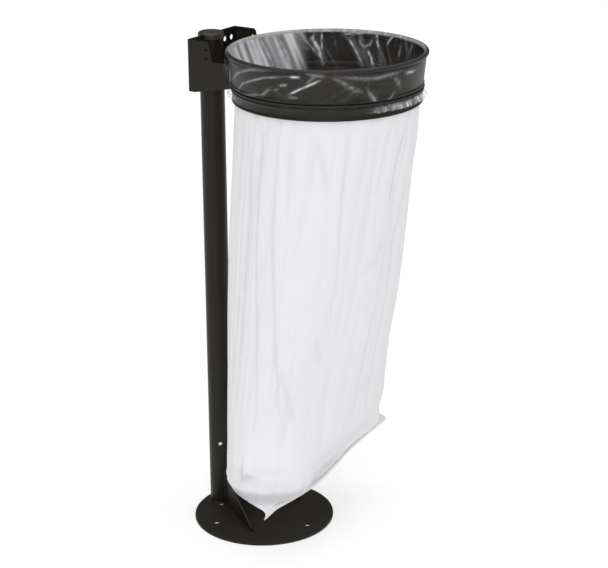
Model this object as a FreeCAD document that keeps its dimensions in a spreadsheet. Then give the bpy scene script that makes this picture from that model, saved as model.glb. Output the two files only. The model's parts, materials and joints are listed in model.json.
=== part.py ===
"""Litter-bag holder on a post: a steel collar on two folded bracket plates, carried by a
tube that stands off-centre on a round base plate.  A clear bag lines the collar, is turned
down over its rim and is held in a groove by an elastic strap.

Frame (millimetres): origin at the centre of the base plate's underside, +Z up, +X from the
post towards the collar, so the object is symmetric about the XZ plane except for the bag's
seam and the rivet in the tube.
"""
import FreeCAD, Part
import math
import os
import Sketcher

doc = FreeCAD.newDocument("bag_holder")

# ---------------------------------------------------------------- driving dimensions
SIZES = [
    # base plate
    ("plate_dia", 334), ("plate_thick", 6), ("plate_edge", 1), ("anchor_circle", 252),
    ("anchor_hole", 15), ("drain_hole", 14), ("drain_angle", 57),
    # post
    ("post_dia", 56), ("post_wall", 3), ("post_setback", 127), ("post_top", 1155),
    ("cap_lip", 2), ("cap_rise", 16), ("cap_round", 6), ("cap_plug", 30),
    ("cap_wall", 2.5), ("cap_gap", 0.2), ("cap_bevel", 1.8), ("cap_crown", 0.3),
    ("rivet_height", 166), ("rivet_head", 9), ("rivet_flat", 6.3), ("rivet_shank", 4.8),
    ("rivet_rise", 1.6), ("rivet_angle", 304),
    # gussets between tube and plate
    ("fin_thick", 5), ("fin_rise", 92), ("fin_reach", 194), ("fin_tip", 8), ("fin_sag", 6),
    ("fin_angle", 32),
    # collar
    ("rim_setoff", 93), ("rim_rise", 11), ("rim_dia", 440), ("rim_roll", 4.7),
    ("rim_wire_dia", 6), ("sheet", 1.5), ("wall_inset", 6.5), ("band_height", 109),
    ("band_inset", 14.2), ("groove_inset", 15.2), ("groove_drop", 78.5),
    ("groove_width", 7), ("upper_bead", 4.5), ("lower_bead", 3.5), ("bead_width", 4),
    ("bead_slope", 2),
    ("foot_inset", 12.2), ("band_lean", 0.4),
    # bracket plates
    ("bracket_sheet", 3), ("bracket_half", 90), ("bracket_rise", 12), ("wing_front", 3),
    ("bend_radius", 5), ("cheek_reach", 60), ("cheek_corner", 5), ("arm_start", 69),
    ("arm_drop", 44), ("arm_depth", 96), ("cheek_depth", 117), ("foot_flat", 20),
    ("arm_overrun", 14), ("fixing_hole", 12.5), ("fixing_drop", 23),
    ("fixing_inner", 49), ("fixing_outer", 74), ("pin_hole", 6.5), ("pin_hole_reach", 52),
    ("pin_drop", 18), ("pin_pitch", 19),
    # strap and bag
    ("strap_dia", 5.2), ("strap_room", 1.5), ("strap_gap", 0.1), ("film", 0.8), ("film_gap", 0.3),
    ("lip_drop", 16), ("neck_drop", 126), ("bag_skin", 1.5), ("least_oval", 0.01),
    ("shoulder_level", 620), ("shoulder_long", 243), ("shoulder_short", 170), ("shoulder_sag", 40),
    ("hip_level", 380), ("hip_long", 264), ("hip_short", 140), ("hip_sag", 59),
    ("low_level", 250), ("low_long", 272), ("low_short", 110), ("low_sag", 54),
    ("seam_level", 180), ("seam_long", 286), ("seam_short", 5), ("seam_turn", 94),
    ("hem_drop", 20), ("hem_flare", 7), ("arm_room", 3), ("slot_depth", 112),
]
sheet = doc.addObject("Spreadsheet::Sheet", "Sizes")
for row, (alias, value) in enumerate(SIZES, start=1):
    sheet.set("A%d" % row, alias)
    sheet.set("B%d" % row, str(value))
    sheet.setAlias("B%d" % row, alias)
doc.recompute()

ANCHOR_COUNT = 3
ROLL_CORNERS = 5      # corners of the film's path over the rim
ROLL_STEP = 45        # degrees between them
SAME_PLACE = 0.01     # two points nearer than this are one
parts = {}


# Levels and radii that follow from the driving dimensions
WORKED_OUT = {
    "cap_radius": "(post_dia / 2 + cap_lip)",
    "collar_reach": "(rim_dia / 2 + rim_setoff)",
    "rim_top": "(post_top + rim_rise)",
    "rim_axis": "(rim_dia / 2 - rim_roll)",
    "rim_level": "(rim_top - rim_roll)",
    "wall_top": "(rim_top - rim_roll * 2)",
    "wall_radius": "(rim_dia / 2 - wall_inset)",
    "wall_foot": "(rim_dia / 2 - foot_inset)",
    "groove_radius": "(rim_dia / 2 - groove_inset)",
    "band_radius": "(rim_dia / 2 - band_inset)",
    "collar_foot": "(rim_top - band_height)",
    "groove_level": "(rim_top - groove_drop)",
    "groove_upper": "(groove_level + groove_width / 2)",
    "groove_lower": "(groove_level - groove_width / 2)",
    "bracket_top": "(post_top + bracket_rise)",
    "arm_top": "(bracket_top - arm_drop)",
    "arm_foot": "(bracket_top - arm_depth)",
    "cheek_foot": "(bracket_top - cheek_depth)",
    "arm_meets": "(collar_reach - sqrt(band_radius * band_radius - bracket_half * bracket_half))",
    "fixing_height": "(bracket_top - fixing_drop)",
    "pin_hole_high": "(bracket_top - pin_drop)",
    "pin_hole_low": "(bracket_top - pin_drop - pin_pitch)",
    "bag_radius": "(groove_radius - sheet - film_gap)",
    "lip_level": "(rim_top - lip_drop)",
}


def size(expression):
    """A formula in plain words made one in sheet cells: a word is either a cell's alias or
    one of the worked-out values."""
    words, word = [], ""
    for letter in expression + " ":
        if letter.isalpha() or letter == "_":
            word += letter
            continue
        if word:
            if word in WORKED_OUT:
                words.append(size(WORKED_OUT[word]))
            else:
                words.append(word if word in ("sin", "cos", "sqrt") else "Sizes." + word)
            word = ""
        words.append(letter)
    return "".join(words).strip()


def keep(name, thing):
    """Register a finished sub-part under the name its file will carry."""
    thing.Label = name
    parts[name] = thing
    return thing


def place(thing, along="0", across="0", up="0"):
    """Bind an object's position to the sheet."""
    for axis, expression in zip("xyz", (along, across, up)):
        thing.setExpression("Placement.Base." + axis, size(expression))


def primitive(kind, name, **bound):
    """A Part primitive or boolean with its sizes bound to the sheet."""
    thing = doc.addObject("Part::" + kind, name)
    for key, expression in bound.items():
        thing.setExpression(key, size(expression))
    return thing


def boolean(kind, name, base, tool):
    thing = doc.addObject("Part::" + kind, name)
    thing.Base, thing.Tool = base, tool
    return thing


def fuse_all(name, things):
    thing = doc.addObject("Part::MultiFuse", name)
    thing.Shapes = things
    return thing


def body(name):
    return doc.addObject("PartDesign::Body", name)


def sketch_on(owner, role, name, offset=None):
    """A sketch on one of the body's own origin planes, lifted off it by an expression."""
    plane = [f for f in owner.Origin.OriginFeatures if f.Role == role][0]
    drawing = owner.newObject("Sketcher::SketchObject", name)
    drawing.AttachmentSupport = (plane, [""])
    drawing.MapMode = "FlatFace"
    if offset is not None:
        drawing.setExpression("AttachmentOffset.Base.z", size(offset))
    return drawing


def outline(drawing, corners):
    """A closed outline of straight runs.  Each corner's two distances are expressions."""
    count = len(corners)
    start = [(float(math.cos(2 * math.pi * i / count)), float(math.sin(2 * math.pi * i / count)))
             for i in range(count)]
    for i in range(count):
        p, q = start[i], start[(i + 1) % count]
        drawing.addGeometry(Part.LineSegment(FreeCAD.Vector(p[0], p[1], 0),
                                             FreeCAD.Vector(q[0], q[1], 0)), False)
    for i in range(count):
        drawing.addConstraint(Sketcher.Constraint("Coincident", i, 2, (i + 1) % count, 1))
    for i, (across, up) in enumerate(corners):
        for kind, expression in (("DistanceX", across), ("DistanceY", up)):
            index = drawing.addConstraint(Sketcher.Constraint(kind, -1, 1, i, 1, 1.0))
            drawing.setExpression("Constraints[%d]" % index, size(expression))


def circle(drawing, across, up, diameter):
    """A full circle whose centre and diameter are expressions."""
    index = drawing.addGeometry(Part.Circle(FreeCAD.Vector(1, 1, 0), FreeCAD.Vector(0, 0, 1), 1),
                                False)
    for kind, expression in (("DistanceX", across), ("DistanceY", up)):
        place_at = drawing.addConstraint(Sketcher.Constraint(kind, -1, 1, index, 3, 1.0))
        drawing.setExpression("Constraints[%d]" % place_at, size(expression))
    across_it = drawing.addConstraint(Sketcher.Constraint("Diameter", index, 2.0))
    drawing.setExpression("Constraints[%d]" % across_it, size(diameter))


def pad(owner, drawing, name, length):
    feature = owner.newObject("PartDesign::Pad", name)
    feature.Profile = drawing
    feature.setExpression("Length", size(length))
    owner.Tip = feature
    return feature


def pocket(owner, drawing, name):
    feature = owner.newObject("PartDesign::Pocket", name)
    feature.Profile = drawing
    feature.Type = "ThroughAll"
    feature.Midplane = True
    owner.Tip = feature
    return feature


def turned(name, corners):
    """A ring or disc: an outline in the XZ plane turned a full turn about Z."""
    owner = body(name)
    drawing = sketch_on(owner, "XZ_Plane", name + "_profile")
    outline(drawing, corners)
    feature = owner.newObject("PartDesign::Revolution", name + "_turn")
    feature.Profile = drawing
    feature.ReferenceAxis = (drawing, ["V_Axis"])
    feature.Angle = 360
    owner.Tip = feature
    return owner


def mirrored(name, source):
    """The same piece on the other side of the XZ plane."""
    thing = doc.addObject("Part::Mirroring", name)
    thing.Source = source
    thing.Normal = FreeCAD.Vector(0, 1, 0)
    return thing


# ---------------------------------------------------------------- base plate
def base_plate():
    owner = body("base_plate_body")
    disc = sketch_on(owner, "XY_Plane", "plate_outline")
    circle(disc, "0", "0", "plate_dia")
    plate = pad(owner, disc, "plate_pad", "plate_thick")
    doc.recompute()
    rims = ["Edge%d" % (i + 1) for i, edge in enumerate(plate.Shape.Edges)
            if edge.Closed and edge.Vertexes[0].Point.z > sheet.plate_thick / 2]
    chamfer = owner.newObject("PartDesign::Chamfer", "plate_chamfer")
    chamfer.Base = (plate, rims)
    chamfer.setExpression("Size", size("plate_edge"))
    anchors = sketch_on(owner, "XY_Plane", "anchor_centre")
    circle(anchors, "anchor_circle / 2", "0", "anchor_hole")
    first = pocket(owner, anchors, "anchor_pocket")
    pattern = owner.newObject("PartDesign::PolarPattern", "anchor_pattern")
    pattern.Originals = [first]
    pattern.Axis = ([f for f in owner.Origin.OriginFeatures if f.Role == "Z_Axis"][0], [""])
    pattern.Angle = 360
    pattern.Occurrences = ANCHOR_COUNT
    owner.Tip = pattern
    drains = sketch_on(owner, "XY_Plane", "drain_centres")
    for side in ("", "-"):
        circle(drains, "post_dia / 2 * cos(drain_angle) - post_setback",
               side + "(post_dia / 2 * sin(drain_angle))", "drain_hole")
    pocket(owner, drains, "drain_pocket")
    return owner


# ---------------------------------------------------------------- post
def post_tube():
    outer = primitive("Cylinder", "tube_outer", Radius="post_dia / 2", Height="post_top - plate_thick")
    bore = primitive("Cylinder", "tube_bore", Radius="post_dia / 2 - post_wall",
                     Height="post_top - plate_thick")
    hole = primitive("Cylinder", "rivet_hole", Radius="rivet_shank / 2", Height="post_dia")
    for cylinder in (outer, bore):
        place(cylinder, "-post_setback", "0", "plate_thick")
    aim_rivet(hole, "0")
    hollow = boolean("Cut", "tube_hollow", outer, bore)
    return boolean("Cut", "tube_drilled", hollow, hole)


def aim_rivet(cylinder, inset):
    """Lay a cylinder along the rivet's radius, starting that far from the post's axis."""
    cylinder.Placement.Rotation = FreeCAD.Rotation(
        FreeCAD.Vector(0, 0, 1), FreeCAD.Vector(math.cos(math.radians(sheet.rivet_angle)),
                                                math.sin(math.radians(sheet.rivet_angle)), 0))
    place(cylinder, "(%s) * cos(rivet_angle) - post_setback" % inset,
          "(%s) * sin(rivet_angle)" % inset, "rivet_height")


def post_rivet():
    shank = primitive("Cylinder", "rivet_body", Radius="rivet_shank / 2",
                      Height="post_wall * 2 + rivet_rise / 2")
    head = primitive("Cone", "rivet_head_cone", Radius1="rivet_head / 2",
                     Radius2="rivet_flat / 2", Height="rivet_rise")
    aim_rivet(shank, "post_dia / 2 - post_wall * 2")
    aim_rivet(head, "post_dia / 2")
    return fuse_all("rivet_whole", [shank, head])


def post_cap():
    """A push-in plug: a domed flange that covers the tube's end, and a hollow skirt in its bore."""
    bore = "(post_dia / 2 - post_wall - cap_gap)"
    owner = turned("post_cap_body", [
        ("0", "post_top + cap_rise"),
        ("0", "post_top + cap_rise - cap_wall"),
        (bore + " - cap_wall", "post_top + cap_rise - cap_wall - cap_round / 2"),
        (bore + " - cap_wall", "post_top - cap_plug"),
        (bore, "post_top - cap_plug"),
        (bore, "post_top"),
        ("cap_radius", "post_top"),
        ("cap_radius", "post_top + cap_rise - cap_round"),
        ("cap_radius - cap_bevel", "post_top + cap_rise - cap_bevel"),
        ("cap_radius - cap_round", "post_top + cap_rise - cap_crown"),
    ])
    place(owner, "-post_setback")
    return owner


# ---------------------------------------------------------------- gussets
def gusset():
    """A fin welded to the tube and the plate.  Its upper edge sags a little below straight."""
    owner = body("gusset_body")
    fin = sketch_on(owner, "XZ_Plane", "gusset_outline", "-fin_thick / 2")
    foot = "(post_dia / 2)"
    slope = "((fin_reach - post_dia / 2) / 3)"
    fall = "((fin_rise - fin_tip) / 3)"
    outline(fin, [
        (foot, "plate_thick"),
        ("fin_reach", "plate_thick"),
        ("fin_reach", "plate_thick + fin_tip"),
        (foot + " + 2 * " + slope, "plate_thick + fin_tip + " + fall + " - fin_sag"),
        (foot + " + " + slope, "plate_thick + fin_tip + 2 * " + fall + " - fin_sag"),
        (foot, "plate_thick + fin_rise"),
    ])
    pad(owner, fin, "gusset_pad", "fin_thick")
    owner.Placement.Rotation = FreeCAD.Rotation(FreeCAD.Vector(0, 0, 1), sheet.fin_angle)
    place(owner, "-post_setback")
    cheek = primitive("Cylinder", "gusset_tube_room", Radius="post_dia / 2", Height="post_top")
    place(cheek, "-post_setback")
    return boolean("Cut", "gusset_fitted", owner, cheek)


# ---------------------------------------------------------------- collar
def collar_side(inset):
    """The collar's outer face from the rim down: upper band, bead, groove, bead, lower band."""
    radius_height = [
        ("wall_radius", "wall_top"),
        ("wall_foot", "groove_upper + bead_slope * 2 + bead_width"),
        ("groove_radius + upper_bead", "groove_upper + bead_slope + bead_width"),
        ("groove_radius + upper_bead", "groove_upper + bead_slope"),
        ("groove_radius", "groove_upper"),
        ("groove_radius", "groove_lower"),
        ("groove_radius + lower_bead", "groove_lower - bead_slope"),
        ("groove_radius + lower_bead", "groove_lower - bead_slope - bead_width"),
        ("band_radius + band_lean", "groove_lower - bead_slope * 2 - bead_width"),
        ("band_radius", "collar_foot"),
    ]
    return [(radius + " - " + inset, height) for radius, height in radius_height]


def collar_shell():
    """One roll-formed strip, its upper edge curled round the rim wire."""
    wall = turned("collar_wall", collar_side("0") + collar_side("sheet")[::-1])
    place(wall, "collar_reach - post_setback")
    curl = primitive("Torus", "rim_curl", Radius1="rim_axis", Radius2="rim_roll")
    bore = primitive("Torus", "rim_bore", Radius1="rim_axis", Radius2="rim_wire_dia / 2")
    for ring in (curl, bore):
        place(ring, "collar_reach - post_setback", "0", "rim_level")
    neck = turned("rim_neck", [
        ("wall_radius - sheet", "wall_top"),
        ("wall_radius", "wall_top"),
        ("wall_radius", "rim_level"),
        ("wall_radius - sheet", "rim_level"),
    ])
    place(neck, "collar_reach - post_setback")
    solid = fuse_all("collar_joined", [wall, neck, curl])
    return boolean("Cut", "collar_finished", solid, bore)


def rim_wire():
    ring = primitive("Torus", "rim_wire_ring", Radius1="rim_axis", Radius2="rim_wire_dia / 2")
    place(ring, "collar_reach - post_setback", "0", "rim_level")
    return ring


# ---------------------------------------------------------------- bracket plates
def bracket_plate():
    """Wing, cheek and arm in one folded plate.  The arm's end follows the collar's wall and
    is relieved where the strap runs past it."""
    owner = body("bracket_body")
    cheek = sketch_on(owner, "XZ_Plane", "cheek_outline", "-bracket_half")
    outline(cheek, [
        ("wing_front - bracket_sheet", "cheek_foot"),
        ("foot_flat", "cheek_foot"),
        ("arm_meets", "arm_foot"),
        ("arm_meets + arm_overrun", "arm_foot"),
        ("arm_meets + arm_overrun", "arm_top"),
        ("arm_start", "arm_top"),
        ("cheek_reach", "bracket_top - cheek_corner"),
        ("cheek_reach - cheek_corner", "bracket_top"),
        ("wing_front - bracket_sheet", "bracket_top"),
    ])
    pad(owner, cheek, "cheek_pad", "bracket_sheet")
    wing = sketch_on(owner, "YZ_Plane", "wing_outline", "wing_front - bracket_sheet")
    outline(wing, [
        ("post_dia / 2 - bracket_sheet", "cheek_foot"),
        ("bracket_half - bracket_sheet", "cheek_foot"),
        ("bracket_half - bracket_sheet", "bracket_top"),
        ("post_dia / 2 - bracket_sheet", "bracket_top"),
    ])
    folded = pad(owner, wing, "wing_pad", "bracket_sheet")
    doc.recompute()
    corner = ["Edge%d" % (i + 1) for i, edge in enumerate(folded.Shape.Edges)
              if all(abs(v.Point.x - (sheet.wing_front - sheet.bracket_sheet)) < SAME_PLACE
                     and abs(v.Point.y - sheet.bracket_half) < SAME_PLACE for v in edge.Vertexes)]
    bend = owner.newObject("PartDesign::Fillet", "bracket_bend")
    bend.Base = (folded, corner)
    bend.setExpression("Radius", size("bend_radius"))
    owner.Tip = bend
    fixings = sketch_on(owner, "YZ_Plane", "fixing_centres")
    for across in ("fixing_inner", "fixing_outer"):
        circle(fixings, across, "fixing_height", "fixing_hole")
    pocket(owner, fixings, "fixing_pocket")
    pins = sketch_on(owner, "XZ_Plane", "pin_centres")
    for height in ("pin_hole_high", "pin_hole_low"):
        circle(pins, "pin_hole_reach", height, "pin_hole")
    pocket(owner, pins, "pin_pocket")
    place(owner, "-post_setback")

    tube = primitive("Cylinder", "bracket_tube_room", Radius="post_dia / 2", Height="post_top")
    cap = primitive("Cylinder", "bracket_cap_room", Radius="cap_radius + cap_gap",
                    Height="bracket_top - post_top + cap_rise")
    place(tube, "-post_setback")
    place(cap, "-post_setback", "0", "post_top - cap_gap")
    rim = collar_side("0")
    plug = turned("bracket_collar_room", rim + [("0", rim[-1][1]), ("0", rim[0][1])])
    place(plug, "collar_reach - post_setback")
    way = turned("bracket_strap_room", [
        ("groove_radius - sheet", "groove_level - strap_dia / 2 - strap_room"),
        ("groove_radius + strap_dia + film + film_gap + strap_room",
         "groove_level - strap_dia / 2 - strap_room"),
        ("groove_radius + strap_dia + film + film_gap + strap_room",
         "groove_level + strap_dia / 2 + strap_room"),
        ("groove_radius - sheet", "groove_level + strap_dia / 2 + strap_room"),
    ])
    place(way, "collar_reach - post_setback")
    return boolean("Cut", "bracket_fitted", owner, fuse_all("bracket_rooms", [tube, cap, plug, way]))


# ---------------------------------------------------------------- strap and bag
def elastic_strap():
    ring = primitive("Torus", "strap_ring",
                     Radius1="groove_radius + film_gap + film + strap_gap + strap_dia / 2",
                     Radius2="strap_dia / 2")
    place(ring, "collar_reach - post_setback", "0", "groove_level")
    return ring


def bag_loft(name, inset, lift):
    """The hanging bag: round under the collar, sagging towards the post as it flattens to
    its straight bottom seam.  Each ring: height, long half, short half, sag."""
    levels = [
        ("lip_level", "bag_radius", "bag_radius", "0"),
        ("rim_top - neck_drop", "bag_radius", "bag_radius", "0"),
        ("shoulder_level", "shoulder_long", "shoulder_short", "shoulder_sag"),
        ("hip_level", "hip_long", "hip_short", "hip_sag"),
        ("low_level", "low_long", "low_short", "low_sag"),
        ("seam_level + " + lift, "seam_long", "seam_short", "0"),
    ]
    rings = []
    for number, (level, long_half, short_half, sag) in enumerate(levels):
        ring = doc.addObject("Part::Ellipse", "%s_ring_%d" % (name, number))
        ring.setExpression("MajorRadius", size("%s - %s + least_oval" % (long_half, inset)))
        ring.setExpression("MinorRadius", size("%s - %s" % (short_half, inset)))
        ring.Placement.Rotation = FreeCAD.Rotation(FreeCAD.Vector(0, 0, 1), sheet.seam_turn)
        place(ring, "collar_reach - post_setback - " + sag, "0", level)
        rings.append(ring)
    loft = doc.addObject("Part::Loft", name + "_loft")
    loft.Sections = rings
    loft.Solid = True
    loft.Ruled = True
    return loft


def bag():
    outer = bag_loft("bag_outer", "0", "0")
    inner = bag_loft("bag_inner", "bag_skin", "bag_skin * 2")
    return boolean("Cut", "bag_shell", outer, inner)


def bag_cuff():
    """The bag's mouth turned over the rim and down the outside, pinched in the groove, with
    its loose hem below.  It is open at each bracket arm, where the film bunches above it."""
    def skin(offset, over):
        """One face of the film, from the inner lip over the rim to the hem."""
        chain = [("rim_axis - (%s)" % over, "lip_level")]
        for turn in range(ROLL_CORNERS):
            angle = 180 - turn * ROLL_STEP
            chain.append(("rim_axis + (%s) * cos(%d)" % (over, angle),
                          "rim_level + (%s) * sin(%d)" % (over, angle)))
        chain += [
            ("groove_radius + upper_bead + film_gap", "groove_upper + bead_slope + bead_width"),
            ("groove_radius + upper_bead + film_gap", "groove_upper + bead_slope"),
            ("groove_radius + film_gap", "groove_upper"),
            ("groove_radius + film_gap", "groove_lower"),
            ("groove_radius + lower_bead + film_gap", "groove_lower - bead_slope"),
            ("groove_radius + hem_flare", "groove_level - hem_drop"),
        ]
        roll = ROLL_CORNERS + 1
        return chain[:roll] + [(radius + " + " + offset, up) for radius, up in chain[roll:]]

    around = "(rim_roll + film_gap) / cos(%.1f)" % (ROLL_STEP / 2)
    inside = skin("0", around)
    outside = skin("film", around + " + film")
    sleeve = turned("cuff_sleeve", inside + outside[::-1])
    place(sleeve, "collar_reach - post_setback")
    slots = []
    for side, across in (("near", "-(bracket_half + arm_room)"),
                         ("far", "bracket_half - bracket_sheet - arm_room")):
        slot = primitive("Box", "cuff_slot_" + side, Length="collar_reach",
                         Width="bracket_sheet + 2 * arm_room", Height="slot_depth")
        place(slot, "-post_setback", across, "arm_top + arm_room - slot_depth")
        slots.append(slot)
    return boolean("Cut", "cuff_finished", sleeve, fuse_all("cuff_slots", slots))


# ---------------------------------------------------------------- assembly
keep("base_plate", base_plate())
keep("post_tube", post_tube())
keep("post_cap", post_cap())
keep("post_rivet", post_rivet())
keep("gusset_left", gusset())
keep("gusset_right", mirrored("gusset_other", parts["gusset_left"]))
keep("collar_shell", collar_shell())
keep("rim_wire", rim_wire())
keep("bracket_left", bracket_plate())
keep("bracket_right", mirrored("bracket_other", parts["bracket_left"]))
keep("elastic_strap", elastic_strap())
keep("bag", bag())
keep("bag_cuff", bag_cuff())

doc.recompute()
for thing in doc.Objects:
    if "Invalid" in thing.State or "Error" in thing.State:
        raise RuntimeError("%s did not recompute: %s" % (thing.Name, thing.State))
for name, thing in parts.items():
    if thing.Shape.isNull() or not thing.Shape.isValid() or not thing.Shape.Solids:
        raise RuntimeError("%s has no valid solid" % name)

os.makedirs("parts", exist_ok=True)
for name, thing in parts.items():
    thing.Shape.exportStep("parts/%s.step" % name)
    box = thing.Shape.BoundBox
    print("%-14s solids %d volume %10.0f  x %.1f..%.1f y %.1f..%.1f z %.1f..%.1f" % (
        name, len(thing.Shape.Solids), thing.Shape.Volume, box.XMin, box.XMax, box.YMin,
        box.YMax, box.ZMin, box.ZMax))
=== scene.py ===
"""A litter-bag holder: a dark powder-coated post, bracket and collar, with a clear bag.

The steel pieces are turned or folded from thin stock with rolled and softened edges.  The
bag is one film: it lines the collar, turns over the rim, is pinched in the groove by the
elastic strap, and hangs down to its straight bottom seam.  Units are metres.
"""
import json
import math

import bmesh
import bpy
from mathutils import Matrix, Vector, noise

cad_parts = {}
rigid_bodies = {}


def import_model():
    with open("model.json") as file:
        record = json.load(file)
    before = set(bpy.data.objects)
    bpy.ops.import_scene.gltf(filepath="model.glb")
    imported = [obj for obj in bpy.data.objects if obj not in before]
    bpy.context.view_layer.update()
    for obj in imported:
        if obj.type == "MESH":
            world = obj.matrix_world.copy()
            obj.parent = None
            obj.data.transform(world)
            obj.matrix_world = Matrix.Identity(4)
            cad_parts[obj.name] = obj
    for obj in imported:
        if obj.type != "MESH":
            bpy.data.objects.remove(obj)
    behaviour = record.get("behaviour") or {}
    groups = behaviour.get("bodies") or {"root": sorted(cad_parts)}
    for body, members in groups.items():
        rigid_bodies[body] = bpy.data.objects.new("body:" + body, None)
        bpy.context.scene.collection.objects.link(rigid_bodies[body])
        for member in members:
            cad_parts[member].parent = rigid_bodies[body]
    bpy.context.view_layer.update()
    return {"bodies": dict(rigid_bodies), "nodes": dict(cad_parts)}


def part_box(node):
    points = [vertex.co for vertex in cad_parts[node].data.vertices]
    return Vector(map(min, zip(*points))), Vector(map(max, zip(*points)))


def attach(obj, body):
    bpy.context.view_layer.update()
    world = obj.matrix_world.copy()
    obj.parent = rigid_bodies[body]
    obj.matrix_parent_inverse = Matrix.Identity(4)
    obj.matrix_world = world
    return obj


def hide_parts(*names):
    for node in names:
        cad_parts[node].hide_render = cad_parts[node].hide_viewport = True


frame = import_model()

MM = 0.001
UP = Vector((0, 0, 1))
ORIGIN = Vector((0, 0, 0))
ROOT = next(iter(frame["bodies"]))
SURROUND = 0.42          # the surround's strength for diffuse light
GLOSS_SURROUND = 0.10    # and as the gloss sees it
PLEAT_MEAN = 3 * MM       # how far the pleats lie inside the section on average
FILM_COLUMNS = 420
RIM_ROLL = 4.7 * MM       # radius of the collar's curled rim


# ------------------------------------------------------------------ places read from the frame
def low(node):
    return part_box(node)[0]


def high(node):
    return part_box(node)[1]


PLATE_TOP = high("base_plate").z
POST = (low("post_tube") + high("post_tube")) / 2
POST_RADIUS = (high("post_tube").x - low("post_tube").x) / 2
POST_TOP = high("post_tube").z
CAP_RADIUS = (high("post_cap").x - low("post_cap").x) / 2
CAP_TOP = high("post_cap").z
COLLAR_X = (low("collar_shell").x + high("collar_shell").x) / 2
RIM_RADIUS = (high("collar_shell").x - low("collar_shell").x) / 2
RIM_TOP = high("collar_shell").z
COLLAR_FOOT = low("collar_shell").z
STRAP_LEVEL = (low("elastic_strap").z + high("elastic_strap").z) / 2
STRAP_THICK = high("elastic_strap").z - low("elastic_strap").z
STRAP_RADIUS = (high("elastic_strap").x - low("elastic_strap").x - STRAP_THICK) / 2
BRACKET_HALF = high("bracket_left").y
BRACKET_FOOT = low("bracket_left").z
SEAM_LEVEL = low("bag").z
SEAM_HALF = high("bag").y
CUFF_FOOT = low("bag_cuff").z
FIN_TOP = high("gusset_left").z
ARM_DROP = 44 * MM        # from the bracket's top to its arms
ARM_TOP = high("bracket_left").z - ARM_DROP
ARM_ANGLE = math.pi - math.asin((BRACKET_HALF - 1.5 * MM) / (RIM_RADIUS - 8 * MM))
ARM_CLEAR, ARM_SPREAD = 3.5 * MM, 13 * MM    # where the film rides over an arm, and beside it


# ------------------------------------------------------------------ shader maths
class Wire:
    """A shader socket that can be added, multiplied and compared in plain expressions."""

    def __init__(self, mat, socket):
        self.mat, self.socket = mat, socket

    def _math(self, operation, other, swapped=False):
        node = self.mat.tree.nodes.new("ShaderNodeMath")
        node.operation = operation
        first, second = (other, self) if swapped else (self, other)
        for slot, value in zip(node.inputs, (first, second)):
            if isinstance(value, Wire):
                self.mat.tree.links.new(value.socket, slot)
            elif value is not None:
                slot.default_value = value
        return Wire(self.mat, node.outputs[0])

    def __add__(self, other):
        return self._math("ADD", other)

    def __sub__(self, other):
        return self._math("SUBTRACT", other)

    def __mul__(self, other):
        return self._math("MULTIPLY", other)

    def __rsub__(self, other):
        return self._math("SUBTRACT", other, True)

    __radd__ = __add__
    __rmul__ = __mul__

    def clamped(self):
        return self._math("MINIMUM", 1.0)._math("MAXIMUM", 0.0)


class Material:
    """A node material that is written as expressions."""

    def __init__(self, name):
        self.data = bpy.data.materials.new(name)
        self.data.use_nodes = True
        self.tree = self.data.node_tree
        self.tree.nodes.clear()
        self.out = self.tree.nodes.new("ShaderNodeOutputMaterial")

    def node(self, kind, output=0, settings=None, **values):
        """Any node: its settings first, then the values or links of its sockets."""
        made = self.tree.nodes.new(kind)
        for key, value in (settings or {}).items():
            setattr(made, key, value)
        for key, value in values.items():
            slot = int(key[1:]) if key[1:].isdigit() else key.replace("_", " ")
            socket = made.inputs[slot]
            if isinstance(value, Wire):
                self.tree.links.new(value.socket, socket)
            else:
                socket.default_value = value
        return Wire(self, made.outputs[output])

    def place(self):
        return self.node("ShaderNodeTexCoord", "Object")

    def noise(self, scale, detail=2.0, rough=0.5, where=None):
        return self.node("ShaderNodeTexNoise", "Fac", Vector=where or self.place(), Scale=scale,
                         Detail=detail, Roughness=rough)

    def stretched(self, x, y, z):
        return self.node("ShaderNodeMapping", 0, Vector=self.place(), Scale=(x, y, z))

    def between(self, factor, first, second):
        """A colour between two, or one that follows a factor."""
        return self.node("ShaderNodeMix", 2, {"data_type": "RGBA"}, _0=factor, _6=first, _7=second)

    def bump(self, height, strength, distance, under=None):
        extra = {"Normal": under} if under is not None else {}
        return self.node("ShaderNodeBump", 0, Height=height, Strength=strength,
                         Distance=distance, **extra)

    def principled(self, **values):
        return self.node("ShaderNodeBsdfPrincipled", 0, **values)

    def finish(self, shader):
        self.tree.links.new(shader.socket, self.out.inputs["Surface"])
        return self.data


def powder_coat():
    """Satin dark bronze-black powder coat: fine orange peel, faint clouding and dust specks."""
    m = Material("powder_coat_satin")
    cloud = m.noise(9.0, 3.0)
    speck = m.noise(900.0, 2.0)
    dust = (m.noise(34.0, 4.0, 0.6) - 0.52) * 4.0
    shade = m.between(cloud, (0.0116, 0.0097, 0.0064, 1), (0.0152, 0.0130, 0.0090, 1))
    facing = m.node("ShaderNodeNewGeometry", "Normal")
    facing_up = m.node("ShaderNodeSeparateXYZ", "Z", Vector=facing)
    # painted light: faces that point up are mixed towards the pale tint, lighter the more they face
    # up, as if lit from above; the noise specks added to it are dust
    painted_top_light = (facing_up - 0.6).clamped() * 0.65
    shade = m.between(dust.clamped() * 0.06 + painted_top_light, shade, (0.060, 0.055, 0.046, 1))
    peel = m.bump(speck, 0.35, 0.00012)
    peel = m.bump(m.noise(260.0, 1.0), 0.22, 0.00025, peel)
    rough = cloud * 0.08 + speck * 0.05 + 0.33
    return m.finish(m.principled(Base_Color=shade, Roughness=rough, Normal=peel,
                                 Specular_IOR_Level=0.22))


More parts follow.
